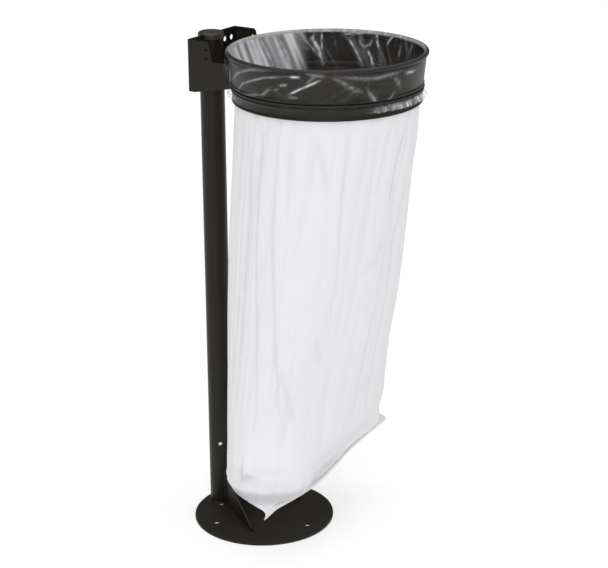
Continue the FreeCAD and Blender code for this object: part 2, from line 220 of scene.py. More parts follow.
def cap_plastic():
    """Slightly warm moulded plastic with a fine spark-eroded grain."""
    m = Material("cap_moulded_plastic")
    grain = m.noise(1500.0, 2.0)
    wear = m.noise(60.0, 3.0)
    shade = m.between(wear, (0.036, 0.031, 0.031, 1), (0.052, 0.046, 0.046, 1))
    return m.finish(m.principled(Base_Color=shade, Roughness=wear * 0.12 + 0.34,
                                 Normal=m.bump(grain, 0.3, 0.0001)))


def zinc_plate():
    m = Material("zinc_bright")
    cloud = m.noise(400.0, 3.0)
    shade = m.between(cloud, (0.62, 0.62, 0.60, 1), (0.80, 0.80, 0.78, 1))
    return m.finish(m.principled(Base_Color=shade, Roughness=cloud * 0.2 + 0.2, Metallic=1.0,
                                 Normal=m.bump(m.noise(2200.0), 0.2, 0.00005)))


def strap_rubber():
    m = Material("strap_black_elastic")
    cloud = m.noise(90.0, 3.0)
    ribs = m.node("ShaderNodeTexWave", "Fac", {"wave_type": "BANDS", "bands_direction": "Z"},
                  Vector=m.place(), Scale=400.0, Distortion=0.4)
    shade = m.between(cloud, (0.004, 0.004, 0.004, 1), (0.010, 0.010, 0.010, 1))
    return m.finish(m.principled(Base_Color=shade, Roughness=cloud * 0.15 + 0.42,
                                 Normal=m.bump(ribs, 0.25, 0.0001)))


def weld_bead():
    m = Material("weld_under_coat")
    ripple = m.noise(700.0, 1.0)
    shade = m.between(ripple, (0.010, 0.009, 0.007, 1), (0.016, 0.014, 0.011, 1))
    return m.finish(m.principled(Base_Color=shade, Roughness=0.36,
                                 Normal=m.bump(ripple, 0.5, 0.0004)))


def bag_film():
    """Thin polythene.  Stretched on the collar it is clear; hanging in loose layers it is milky.
    The milk attribute runs from 0 to 1 along the film.  A second attribute marks crumpling and
    painted light: on the clear film it makes milky white streaks, partly real crumple whitening and
    partly painted highlights, and on the milky film it darkens the fold lines as painted shade."""
    m = Material("bag_polythene_film")
    milk = m.node("ShaderNodeAttribute", "Fac", {"attribute_name": "milk"})
    crease_and_painted_light = m.node("ShaderNodeAttribute", "Fac", {"attribute_name": "crease_and_painted_light"})
    mottle = m.noise(24.0, 3.0)
    shade = m.between(mottle, (0.80, 0.788, 0.815, 1), (0.84, 0.828, 0.855, 1))
    # painted shade: where the marked film is milky (the fold lines of the hanging bag) it is
    # darkened towards grey
    shade = m.between((crease_and_painted_light * milk * 0.26).clamped(), shade, (0.42, 0.42, 0.46, 1))
    fine = m.bump(m.noise(1.0, 2.0, 0.5, m.stretched(140.0, 140.0, 14.0)), 0.16, 0.0016)
    wrinkle = m.bump(m.noise(70.0, 3.0, 0.6), 0.10, 0.0015, fine)
    cloud = m.noise(11.0, 3.0, 0.55)
    # painted highlight: on the clear film the mark raises the cover of the pale colour, giving
    # milky white streaks where highlights fall, with some real crumple whitening
    cover = milk * 0.87 + crease_and_painted_light * 0.88 * (1 - milk) + cloud * cloud * 0.03 * (1 - milk)
    rough = milk * 0.30 + 0.16
    film = m.principled(Base_Color=shade, Roughness=rough, Normal=wrinkle,
                        Alpha=cover.clamped(), Specular_IOR_Level=0.5)
    return m.finish(film)


def floor_white():
    m = Material("floor_plain")
    cloud = m.noise(0.8, 2.0)
    shade = m.between(cloud, (0.62, 0.62, 0.62, 1), (0.64, 0.64, 0.64, 1))
    return m.finish(m.principled(Base_Color=shade, Roughness=0.9, Specular_IOR_Level=0.1,
                                 Emission_Color=(1, 1, 1, 1), Emission_Strength=0.44))


# ------------------------------------------------------------------ mesh helpers
def to_object(name, bm, material, smooth=True, replaces=()):
    """Close a bmesh into a finished piece that rides on the object."""
    bmesh.ops.remove_doubles(bm, verts=bm.verts[:], dist=1e-6)
    mesh = bpy.data.meshes.new(name)
    bm.to_mesh(mesh)
    bm.free()
    mesh.polygons.foreach_set("use_smooth", [smooth] * len(mesh.polygons))
    piece = bpy.data.objects.new(name, mesh)
    bpy.context.collection.objects.link(piece)
    mesh.materials.append(material)
    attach(piece, ROOT)
    if replaces:
        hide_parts(*replaces)
    return piece


def modifier(piece, kind, **settings):
    added = piece.modifiers.new(kind.title(), kind)
    for key, value in settings.items():
        setattr(added, key, value)
    return added


def chain(bm, points):
    """A run of edges through points given as (radius, height)."""
    verts = [bm.verts.new((radius, 0, height)) for radius, height in points]
    edges = [bm.edges.new(pair) for pair in zip(verts, verts[1:])]
    return verts, edges


def turned(points, centre, closed=False, steps=256):
    """A surface of revolution: the chain of (radius, height) points spun about Z."""
    bm = bmesh.new()
    verts, edges = chain(bm, points)
    if closed:
        edges.append(bm.edges.new((verts[-1], verts[0])))
    bmesh.ops.spin(bm, geom=verts + edges, axis=UP, cent=ORIGIN, angle=2 * math.pi,
                   steps=steps, use_merge=True)
    bmesh.ops.remove_doubles(bm, verts=bm.verts[:], dist=1e-7)
    bmesh.ops.translate(bm, verts=bm.verts[:], vec=Vector((centre.x, centre.y, 0)))
    bmesh.ops.recalc_face_normals(bm, faces=bm.faces[:])
    return bm


def bow(centre, radius, start, end, count):
    """Points along an arc in the profile plane; angles in degrees, 0 outwards, 90 up."""
    return [(centre[0] + radius * math.cos(math.radians(start + (end - start) * i / count)),
             centre[1] + radius * math.sin(math.radians(start + (end - start) * i / count)))
            for i in range(count + 1)]


def softened(node, name, material, width=0.5 * MM):
    """A folded or cut plate: the node's own mesh, joined up, with its sharp edges rounded."""
    bm = bmesh.new()
    bm.from_mesh(frame["nodes"][node].data)
    bmesh.ops.remove_doubles(bm, verts=bm.verts[:], dist=2e-6)
    bmesh.ops.dissolve_limit(bm, angle_limit=math.radians(0.5), verts=bm.verts[:],
                             edges=bm.edges[:])
    sharp = [e for e in bm.edges
             if e.is_manifold and e.calc_face_angle(0) > math.radians(35)]
    bmesh.ops.bevel(bm, geom=sharp, offset=width, offset_type="OFFSET", segments=2,
                    profile=0.5, affect="EDGES", clamp_overlap=True, material=-1)
    bmesh.ops.triangulate(bm, faces=[f for f in bm.faces if len(f.verts) > 4])
    piece = to_object(name, bm, material, replaces=(node,))
    piece.data.set_sharp_from_angle(angle=math.radians(30))
    modifier(piece, "WEIGHTED_NORMAL", keep_sharp=True)
    return piece


# ------------------------------------------------------------------ steel pieces
def base_plate(material):
    return softened("base_plate", "base_plate_coated", material, 0.4 * MM)


def post_tube(material):
    """The tube with its wall, softened at the top edge."""
    wall, edge = 3 * MM, 0.6 * MM
    foot, top = PLATE_TOP, POST_TOP
    points = [(POST_RADIUS, foot)]
    points += [(POST_RADIUS, foot + (top - foot) * i / 8) for i in range(1, 8)]
    points += bow((POST_RADIUS - edge, top - edge), edge, 0, 90, 4)
    points += bow((POST_RADIUS - wall + edge, top - edge), edge, 90, 180, 4)
    points += [(POST_RADIUS - wall, foot)]
    bm = turned(points, POST, closed=True, steps=160)
    piece = to_object("post_tube_coated", bm, material,
                      replaces=("post_tube",))
    piece.data.set_sharp_from_angle(angle=math.radians(40))
    return piece


def post_cap(material):
    """Push-in cap: a softly domed disc with a rolled shoulder and a ribbed skirt."""
    bore = POST_RADIUS - 3.2 * MM
    wall, shoulder, flange = 2.5 * MM, 5.5 * MM, POST_TOP
    rise = CAP_TOP - POST_TOP
    dome = [(CAP_RADIUS * k, CAP_TOP - 1.4 * MM * k * k) for k in (0.0, 0.2, 0.4, 0.6, 0.75)]
    edge = (CAP_RADIUS - shoulder, CAP_TOP - shoulder - 1.2 * MM)
    points = dome + bow(edge, shoulder, 80, 0, 10)
    points += bow((CAP_RADIUS - 0.8 * MM, flange + 0.8 * MM), 0.8 * MM, 0, -90, 4)
    points += [(bore, flange), (bore, flange - 10 * MM), (bore - 1 * MM, flange - 12 * MM),
               (bore, flange - 14 * MM), (bore, flange - 28 * MM), (bore - wall, flange - 30 * MM),
               (bore - wall, flange + rise * 0.3), (0.0, flange + rise * 0.6)]
    bm = turned(points, POST, steps=128)
    return to_object("post_cap_moulded", bm, material,
                     replaces=("post_cap",))


def rivet(material):
    """A small domed blind rivet, set into the tube's wall."""
    middle = (low("post_rivet") + high("post_rivet")) / 2
    out = Vector((middle.x - POST.x, middle.y - POST.y, 0)).normalized()
    radius = 4.5 * MM
    points = [(0.0, 2.2 * MM), (0.9 * MM, 2.2 * MM), (1.1 * MM, 1.7 * MM), (1.5 * MM, 1.6 * MM)]
    points += bow((radius - 1.6 * MM, 0.0), 1.6 * MM, 80, 0, 6)
    points += [(2.4 * MM, -0.2 * MM), (2.4 * MM, -5 * MM), (0.0, -5 * MM)]
    bm = turned(points, ORIGIN, steps=40)
    turn = UP.rotation_difference(out).to_matrix().to_4x4()
    seat = Vector((POST.x, POST.y, middle.z)) + out * (POST_RADIUS - 0.1 * MM)
    bmesh.ops.transform(bm, matrix=Matrix.Translation(seat) @ turn, verts=bm.verts[:])
    return to_object("post_rivet_domed", bm, material, replaces=("post_rivet",))


def collar(material):
    """One roll-formed strip: curled rim, leaning upper band, groove between two beads,
    short lower band with a folded foot.  The thickness goes inwards."""
    groove = STRAP_RADIUS - STRAP_THICK / 2 - 1.2 * MM
    rim_axis, roll = RIM_RADIUS - RIM_ROLL, RIM_ROLL
    level = RIM_TOP - roll
    wall = RIM_RADIUS - 6.5 * MM
    half = 3.5 * MM
    upper, lower = STRAP_LEVEL + half, STRAP_LEVEL - half
    points = bow((rim_axis, level), roll, -70, 200, 26)
    points += [(wall + 0.2 * MM, level - 7 * MM), (wall - 0.6 * MM, level - 12 * MM)]
    foot = groove + 3.0 * MM
    start, end = wall - 0.6 * MM, foot
    top, bottom = level - 12 * MM, upper + 10 * MM
    points += [(start + (end - start) * k / 6, top + (bottom - top) * k / 6) for k in range(1, 7)]
    points += bow((groove + 1.9 * MM, upper + 4.0 * MM), 2.6 * MM, 60, -60, 8)
    points += [(groove, upper), (groove, STRAP_LEVEL), (groove, lower)]
    points += bow((groove + 1.2 * MM, lower - 3.6 * MM), 2.3 * MM, 60, -60, 8)
    points += [(groove + 1.4 * MM, lower - 8 * MM), (groove + 1.0 * MM, COLLAR_FOOT + 6 * MM),
               (groove + 1.3 * MM, COLLAR_FOOT + 3.4 * MM)]
    points += bow((groove + 0.9 * MM, COLLAR_FOOT + 1.5 * MM), 1.5 * MM, 40, -140, 8)
    bm = turned(points, Vector((COLLAR_X, 0, 0)), steps=320)
    if max(bm.faces, key=lambda f: f.calc_center_median().z).normal.z < 0:
        bmesh.ops.reverse_faces(bm, faces=bm.faces[:])
    piece = to_object("collar_rolled", bm, material,
                      replaces=("collar_shell",))
    modifier(piece, "SOLIDIFY", thickness=1.4 * MM, offset=-1.0, use_even_offset=True,
             use_rim=True)
    return piece


def strap(material):
    """The stretched elastic: a slightly flattened round cord that follows the groove."""
    half = STRAP_THICK / 2
    section = bow((STRAP_RADIUS, STRAP_LEVEL), half, 0, 330, 11)
    bm = turned(section, Vector((COLLAR_X, 0, 0)), closed=True, steps=320)
    return to_object("elastic_strap_round", bm, material,
                     replaces=("elastic_strap",))


def bead_run(bm, path, radius):
    """A weld bead along a path: a tube of small overlapping ripples."""
    rings = []
    for i, (point, along) in enumerate(path):
        side = along.cross(UP if abs(along.z) < 0.9 else Vector((1, 0, 0))).normalized()
        lift = side.cross(along).normalized()
        swell = radius * (1.0 + 0.10 * math.sin(i * 2.1)) * (0.35 if i in (0, len(path) - 1) else 1)
        made = bmesh.ops.create_circle(bm, cap_ends=False, radius=swell, segments=10)["verts"]
        turn = Matrix((side, lift, along)).transposed().to_4x4()
        bmesh.ops.transform(bm, matrix=Matrix.Translation(point) @ turn, verts=made)
        rings.append(made)
    for first, second in zip(rings, rings[1:]):
        loops = [e for ring in (first, second) for e in
                 {e for v in ring for e in v.link_edges if e.other_vert(v) in ring}]
        bmesh.ops.bridge_loops(bm, edges=loops)
    for ring in (rings[0], rings[-1]):
        bmesh.ops.contextual_create(bm, geom=ring)


def straight(start, end, step=2.0 * MM):
    count = max(2, int((end - start).length / step))
    along = (end - start).normalized()
    return [(start.lerp(end, i / count), along) for i in range(count + 1)]


def round_post(radius, height, start, end, step=2.5):
    """A path round the post, angles in degrees."""
    count = max(2, int(abs(end - start) / step))
    path = []
    for i in range(count + 1):
        angle = math.radians(start + (end - start) * i / count)
        point = Vector((POST.x + radius * math.cos(angle), POST.y + radius * math.sin(angle),
                        height))
        path.append((point, Vector((-math.sin(angle), math.cos(angle), 0))))
    return path


def post_welds(material):
    """Fillet welds: round the tube's foot, up both sides of each gusset's heel, and along
    the wings' edges on the tube."""
    bm = bmesh.new()
    size = 2.4 * MM
    fin_turn = 32
    gap = 7
    for start, end in ((fin_turn + gap, 360 - fin_turn - gap), (-fin_turn + gap, fin_turn - gap)):
        bead_run(bm, round_post(POST_RADIUS + 0.4 * MM, PLATE_TOP + 0.4 * MM, start, end), size)
    for turn in (-fin_turn, fin_turn):
        out = Vector((math.cos(math.radians(turn)), math.sin(math.radians(turn)), 0))
        side = Vector((-out.y, out.x, 0))
        for face in (-1, 1):
            heel = Vector((POST.x, POST.y, 0)) + out * (POST_RADIUS + 0.6 * MM)
            heel += side * face * 2.9 * MM
            bead_run(bm, straight(heel + UP * (PLATE_TOP + 4 * MM), heel + UP * (FIN_TOP - 4 * MM)),
                     1.7 * MM)
            near = heel + out * 6 * MM + UP * (PLATE_TOP + 0.3 * MM)
            bead_run(bm, straight(near, near + out * 145 * MM), 1.7 * MM)
    for side in (-1, 1):
        edge = Vector((POST.x + 3.3 * MM, side * (POST_RADIUS - 0.2 * MM), 0))
        bead_run(bm, straight(edge + UP * (BRACKET_FOOT + 3 * MM), edge + UP * (POST_TOP - 3 * MM)),
                 1.8 * MM)
    bmesh.ops.recalc_face_normals(bm, faces=bm.faces[:])
    return to_object("post_weld_beads", bm, material)


# ------------------------------------------------------------------ the bag
SEAM_TURN = math.radians(94)
FINE_FROM = 0.86          # share of the drop below which the rows are closer
ARC = math.pi / 180 * RIM_RADIUS / MM      # millimetres round the collar for a degree
REACH = 18                                 # no drawn line marks anything farther off


def smooth(a, b, value):
    """0 below a, 1 above b, eased in between."""
    t = min(1.0, max(0.0, (value - a) / (b - a)))
    return t * t * (3 - 2 * t)


def ripple(x, y, z):
    return noise.noise(Vector((x, y, z)))


# The bag's section at a share of the drop from the collar's foot (0) to the seam (1):
# half-lengths along and across the seam, and how far it sags towards the post.
SECTIONS = ((0.0, 0.2025, 0.2025, 0.0), (0.10, 0.208, 0.1975, 0.007), (0.18, 0.214, 0.193, 0.0145),
            (0.35, 0.231, 0.184, 0.026), (0.52, 0.244, 0.1725, 0.0365), (0.69, 0.258, 0.155, 0.049),
            (0.80, 0.266, 0.146, 0.057), (0.87, 0.270, 0.143, 0.058), (0.93, 0.276, 0.141, 0.058),
            (0.955, 0.282, 0.136, 0.056), (0.975, 0.286, 0.088, 0.036), (0.985, 0.285, 0.0022, 0.0),
            (1.0, 0.2855, 0.0015, 0.0))
SEAM_DROOP, TIP_DROOP = 30 * MM, 9 * MM
DROOP_CENTRE = 0.40          # shares of the seam's length, from its near end
DROOP_SPREAD = (0.26, 0.17)  # on the near side and on the far side of that

# Lines where a highlight is painted on the film on the collar and hem as a milky white streak, with
# a small ridge pushed into the film along it: strength, width in millimetres, then places as
# degrees round the collar and millimetres below the rim.
GLEAM_LINES = {
    "cuff": (
        (0.90, 2.4, ((-78.6, 54), (-71.4, 40), (-60, 19))),
        (0.35, 2.5, ((-122, 74), (-112.6, 48), (-94, 24), (-78, 15))),
        (0.90, 2.5, ((-78.1, 15.5), (-71.3, 14.7))),
        (0.28, 3.0, ((-129.8, 58), (-117.5, 30), (-104, 12), (-88.9, 7))),
        (0.22, 4.0, ((-122, 80), (-96, 62), (-89, 43))),
        (0.50, 2.2, ((-87.1, 47), (-84.8, 44.5))),
        (0.35, 2.5, ((-84.3, 36.7), (-79, 33.3))),
        (0.25, 5.0, ((-53.7, 15), (-47.3, 28), (-40.8, 44), (-36.5, 50))),
        (0.30, 5.0, ((-34, 43), (-30.4, 62), (-26.7, 79))),
        (0.30, 3.0, ((-15.6, 58), (-17.7, 69), (-25.7, 80))),
        (0.55, 4.0, ((-8.7, 20.8), (1.2, 23))),
        (0.40, 3.0, ((5.2, 75.4), (17.8, 76.4))),
        (0.45, 2.2, ((-79.9, 60.8), (-73.9, 60))),
        (0.25, 4.0, ((-68, 7), (-56.9, 13))),
        (0.28, 3.0, ((-63, 10.6), (-68, 27.7))),
        (0.20, 5.0, ((-52.9, 12), (-30.5, 21.7), (-11, 14.7))),
        (0.22, 5.0, ((-16.8, 24), (-11, 51))),
        (0.35, 3.0, ((40, 12), (62, 40), (70, 74))),
        (0.30, 4.0, ((118, 16), (96, 30), (84, 66))),
    ),
    "liner": (
        (0.95, 5.0, ((131.7, 12), (132.6, 22), (129, 45), (125.9, 79))),
        (0.60, 2.2, ((126.7, 6), (127.2, 25), (126.2, 62))),
        (0.50, 2.2, ((140.8, 4), (136.2, 28), (127.2, 68))),
        (0.50, 3.0, ((145.9, 2), (145, 22))),
        (0.85, 2.3, ((110.2, 18), (105.6, 40), (98.9, 81))),
        (0.90, 3.0, ((97, 41), (93.5, 60), (91.9, 79))),
        (0.42, 4.0, ((102.8, 12), (101.8, 29), (98.9, 37), (95, 29), (93, 10))),
        (0.80, 3.0, ((91, 3), (90, 22), (88.3, 38))),
        (0.60, 2.5, ((77.8, 2), (81.5, 17), (82.6, 28))),
        (0.55, 2.5, ((150.3, 2), (145.5, 42), (143.7, 82))),
        (0.70, 6.0, ((179, 2), (172.4, 36), (167.6, 65))),
        (0.70, 5.0, ((170.9, 2), (165.7, 33), (160.8, 72))),
        (0.85, 6.0, ((159.5, 2), (155.4, 38), (152.5, 79))),
        (0.65, 4.0, ((155.3, 15), (150.4, 53), (148.1, 81))),
        (0.25, 4.0, ((71.3, 19), (72.5, 49))),
        (0.25, 4.0, ((59, 5), (60.6, 35))),
        (0.45, 3.0, ((114.7, 12), (107.4, 9), (94, 4))),
        (0.50, 3.0, ((-40, 8), (-47, 40), (-58, 82))),
        (0.40, 4.0, ((-92, 5), (-84, 44), (-80, 80))),
    ),
    "hem": (
        (0.85, 10, ((-30, 93), (-20, 93))),
        (0.80, 15, ((-22, 92), (-10, 92), (6, 92))),
        (1.00, 18, ((0, 92), (16, 91), (36, 92))),
        (0.85, 14, ((-152, 92), (-126, 93))),
        (0.60, 12, ((96, 92), (118, 93))),
    ),
}
# Fold lines of the hanging bag, each also painting shade along its line: depth in millimetres,
# width in millimetres, then places as degrees round the bag and shares of the drop.
FOLD_LINES = (
    (3.2, 6.0, ((-105, 0), (-98.9, 0.05), (-97.4, 0.14), (-95, 0.26), (-92.7, 0.36),
                (-89.9, 0.46), (-85, 0.60), (-80.6, 0.71), (-80, 0.80))),
    (3.2, 8.0, ((-117, 0.04), (-109, 0.09), (-106.7, 0.16), (-104.8, 0.27), (-103, 0.41),
                (-103.6, 0.47), (-102.5, 0.61), (-101.7, 0.73))),
    (3.0, 8.0, ((-89, 0), (-85.6, 0.11), (-83.4, 0.25), (-76.4, 0.45), (-70, 0.61),
                (-64.8, 0.67), (-65.5, 0.71), (-57.3, 0.77))),
    (2.6, 5.0, ((-44.2, 0), (-42.8, 0.07), (-40.8, 0.20), (-38.8, 0.30), (-36.4, 0.43),
                (-38.2, 0.46), (-34, 0.61))),
    (2.2, 8.0, ((-13.2, 0.01), (-15.3, 0.07), (-16.2, 0.16), (-17.6, 0.19))),
    (4.0, 7.0, ((2.2, 0.01), (0.4, 0.07), (-2.7, 0.13), (-3.5, 0.21), (-1.2, 0.27))),
    (2.4, 9.0, ((-62, 0.045), (-56.9, 0.10), (-50.3, 0.18))),
    (2.0, 9.0, ((-4, 0.32), (-8.9, 0.37), (-23, 0.41))),
    (-2.5, 6.0, ((-51.7, 0.212), (-43.5, 0.227))),
    (2.2, 9.0, ((-45.5, 0.54), (-37.4, 0.64))),
    (-2.2, 9.0, ((-44.5, 0.74), (-34.9, 0.82), (-34.2, 0.76))),
    (2.4, 10.0, ((-67.7, 0.62), (-57.3, 0.71), (-48.5, 0.79))),
    (5.0, 10.0, ((-91, 0.86), (-91.5, 0.900), (-92, 0.926), (-83, 0.918), (-74, 0.915))),
    (-2.5, 5.0, ((-90, 0.925), (-70, 0.931), (-53.7, 0.944), (-36, 0.969))),
    (1.6, 14.0, ((-84, 0.907), (-66, 0.905), (-50, 0.907))),
    (3.0, 7.0, ((-40.7, 0.934), (-32.5, 0.971))),
)


def section_at(drop):
    """The section's three measures at a share of the drop, eased through the table."""
    last = len(SECTIONS) - 1
    index = next(i for i in range(last) if drop <= SECTIONS[i + 1][0] + 1e-6 or i == last - 1)
    before, start, end, after = (SECTIONS[min(last, max(0, index + k))] for k in (-1, 0, 1, 2))
    span = end[0] - start[0]
    t = min(1.0, max(0.0, (drop - start[0]) / span))
    values = []
    for k in (1, 2, 3):
        into = (end[k] - before[k]) / max(end[0] - before[0], 1e-6) * span
        out_of = (after[k] - start[k]) / max(after[0] - start[0], 1e-6) * span
        values.append((2 * t**3 - 3 * t**2 + 1) * start[k] + (t**3 - 2 * t**2 + t) * into
                      + (3 * t**2 - 2 * t**3) * end[k] + (t**3 - t**2) * out_of)
    return values


def bag(material):
    """The whole film in one sheet, spun as a tube and then moved into place: from the loose
    hem, up over the rim, down the inside and on to the seam."""
    rows = []
    hem_top = CUFF_FOOT + 2 * MM
    groove = STRAP_RADIUS - STRAP_THICK / 2 - 0.5 * MM
    rim_axis, roll = RIM_RADIUS - RIM_ROLL, 5.4 * MM
    level = RIM_TOP - RIM_ROLL

    def run(start, end, count, kind, skip=0):
        for i in range(skip, count + 1):
            t = i / count
            rows.append((start[0] + (end[0] - start[0]) * t, start[1] + (end[1] - start[1]) * t,
                         kind))

    run((groove + 7 * MM, hem_top), (groove + 4.4 * MM, STRAP_LEVEL - 5.5 * MM), 6, "hem")
    run((groove + 3.0 * MM, STRAP_LEVEL - 4 * MM),
        (groove + 0.1 * MM, STRAP_LEVEL - 2 * MM), 2, "pinch")
    run((groove, STRAP_LEVEL), (groove + 0.1 * MM, STRAP_LEVEL + 2 * MM), 1, "pinch")
    run((groove + 5.2 * MM, STRAP_LEVEL + 6 * MM), (rim_axis + roll, level), 26, "cuff")
    for radius, height in bow((rim_axis, level), roll, 15, 180, 11):
        rows.append((radius, height, "rim"))
    neck = groove - 2.9 * MM
    run((rim_axis - roll, level - 3 * MM), (neck, STRAP_LEVEL + 9 * MM), 26, "liner")
    run((neck, STRAP_LEVEL + 9 * MM), (neck, COLLAR_FOOT - 4 * MM), 14, "liner", 1)
    top, few = COLLAR_FOOT - 4 * MM, 1
    foot = top + (SEAM_LEVEL - top) * FINE_FROM
    run((neck, top), (neck, foot), 76 // few, "drop", 1)
    run((neck, foot), (neck, SEAM_LEVEL), 34 // few, "drop", 1)
    bm = bmesh.new()
    verts, edges = chain(bm, [(1.0, i) for i in range(len(rows))])
    bmesh.ops.spin(bm, geom=verts + edges, axis=UP, cent=ORIGIN, angle=2 * math.pi,
                   steps=FILM_COLUMNS, use_merge=True)
    bmesh.ops.remove_doubles(bm, verts=bm.verts[:], dist=1e-5)
    milk = bm.verts.layers.float.new("milk")
    crease_and_painted_light = bm.verts.layers.float.new("crease_and_painted_light")
    for vert in bm.verts:
        angle = math.atan2(vert.co.y, vert.co.x)
        radius, height, kind = rows[round(vert.co.z)]
        vert.co, vert[milk], vert[crease_and_painted_light] = film_point(angle, radius, height, kind)
    bmesh.ops.recalc_face_normals(bm, faces=bm.faces[:])
    piece = to_object("bag_film", bm, material, replaces=("bag", "bag_cuff"))
    return piece


def ridge(x, y, z):
    """Noise folded about zero: 1 along its thin crest lines, falling away to 0."""
    return max(0.0, 1 - abs(ripple(x, y, z)) * 2.2)


def drop_point(angle, height):
    """The hanging part: a section that flattens to the seam, with long soft pleats."""
    top = COLLAR_FOOT - 4 * MM
    drop = (top - height) / (top - SEAM_LEVEL)
    long_half, short_half, sag = section_at(drop)
    turn = angle - SEAM_TURN
    x, y = long_half * math.cos(turn), short_half * math.sin(turn)
    if y < 0:        # the side away from the post is drawn in above the seam
        share = x / long_half
        drawn_in = smooth(-0.8, -0.2, share) * (1 - 0.75 * smooth(0.2, 0.9, share))
        y *= 1 - 0.50 * smooth(0.83, 0.95, drop) * drawn_in
    c, s = math.cos(angle), math.sin(angle)
    loose = smooth(0.0, 0.10, drop) * (1 - 0.45 * smooth(0.60, 1.0, drop))
    pleat = ridge(c * 2.3 + 5, s * 2.3, drop * 0.9) ** 3 * 7 * MM
    pleat += ridge(c * 5.5, s * 5.5 + 3, drop * 1.3) ** 2 * 3.5 * MM
    pleat += ripple(c * 12, s * 12, drop * 3.0 + 9) * 1.5 * MM
    pleat += ripple(c * 26, s * 26, drop * 9.0 + 20) * 0.5 * MM
    gather = ridge(c * 14, s * 14, drop * 2.0) ** 2 * 1.8 * MM * (1 - smooth(0.0, 0.25, drop))
    pleat = (pleat - PLEAT_MEAN) * loose
    fold, dark = 0.0, 0.0
    for depth, mark in drawn(FOLD_LINES, angle, drop, (top - SEAM_LEVEL) / MM):
        fold += depth * MM * mark
        # painted shade: each fold line darkens the milky film along it, through the crease mark
        # this returns
        dark = max(dark, mark * depth / 4)
    inwards = (pleat + fold + gather * smooth(0.0, 0.02, drop)) * min(1.0, short_half / 0.05)
    scale = 1 - inwards / max(math.hypot(x, y), 0.03)
    along = Vector((math.cos(SEAM_TURN), math.sin(SEAM_TURN), 0))
    aside = Vector((-along.y, along.x, 0))
    near = 0.5 + x / (2 * SEAM_HALF)
    spread = DROOP_SPREAD[near > DROOP_CENTRE]
    bell = math.exp(-0.5 * ((near - DROOP_CENTRE) / spread) ** 2)
    tip = smooth(0.10, 0.0, near) * smooth(0.975, 1.0, drop)
    droop = SEAM_DROOP * bell * smooth(0.80, 1.0, drop) + TIP_DROOP * tip
    x -= TIP_DROOP / 2 * tip
    point = Vector((COLLAR_X - sag, 0, height - droop)) + (along * x + aside * y) * scale
    single = smooth(0.945, 0.962, drop) * smooth(0.985, 0.975, drop) * smooth(0.62, 0.45, near)
    return point, 1 - 0.5 * single, min(1.0, dark)


def drawn(lines, angle, along, long_scale, sides=(0, 180)):
    """Each drawn line near a place, with how strongly it marks it: 1 on its centre, fading
    towards both its ends.  A line may be repeated on the far side."""
    for strength, width, path in lines:
        mark, last = 0.0, len(path) - 1
        for leg, ((a0, b0), (a1, b1)) in enumerate(zip(path, path[1:])):
            run, fall = (a1 - a0) * ARC, (b1 - b0) * long_scale
            down = (along - b0) * long_scale
            if not min(0, fall) - REACH < down < max(0, fall) + REACH:
                continue
            for side in sides:
                near = ((math.degrees(angle) - a0 - side + 180) % 360 - 180) * ARC
                if not min(0, run) - REACH < near < max(0, run) + REACH:
                    continue
                t = min(1.0, max(0.0, (near * run + down * fall) / (run * run + fall * fall)))
                gap = math.hypot(near - run * t, down - fall * t) / (width / 2)
                done = (leg + t) / last
                fade = 0.25 + 0.75 * smooth(0.0, 0.3, done) * smooth(1.0, 0.7, done)
                soft = 0.75 * math.exp(-gap * gap / 1.2) + 0.25 * math.exp(-gap * gap / 7)
                mark = max(mark, soft * fade)
        if mark > 0.01:
            yield strength, mark


def painted_gleam(kind, angle, height):
    """How strongly the drawn lines mark the film on the collar and hem; the mark paints a highlight
    as milky white.
    """
    marks = drawn(GLEAM_LINES[kind], angle, (RIM_TOP - height) / MM, 1.0, (0,))
    patchy = 1.0 + 0.9 * ripple(math.cos(angle) * 22, math.sin(angle) * 22, height * 90)
    return min(1.0, patchy * max([0.0] + [strength * mark for strength, mark in marks]))


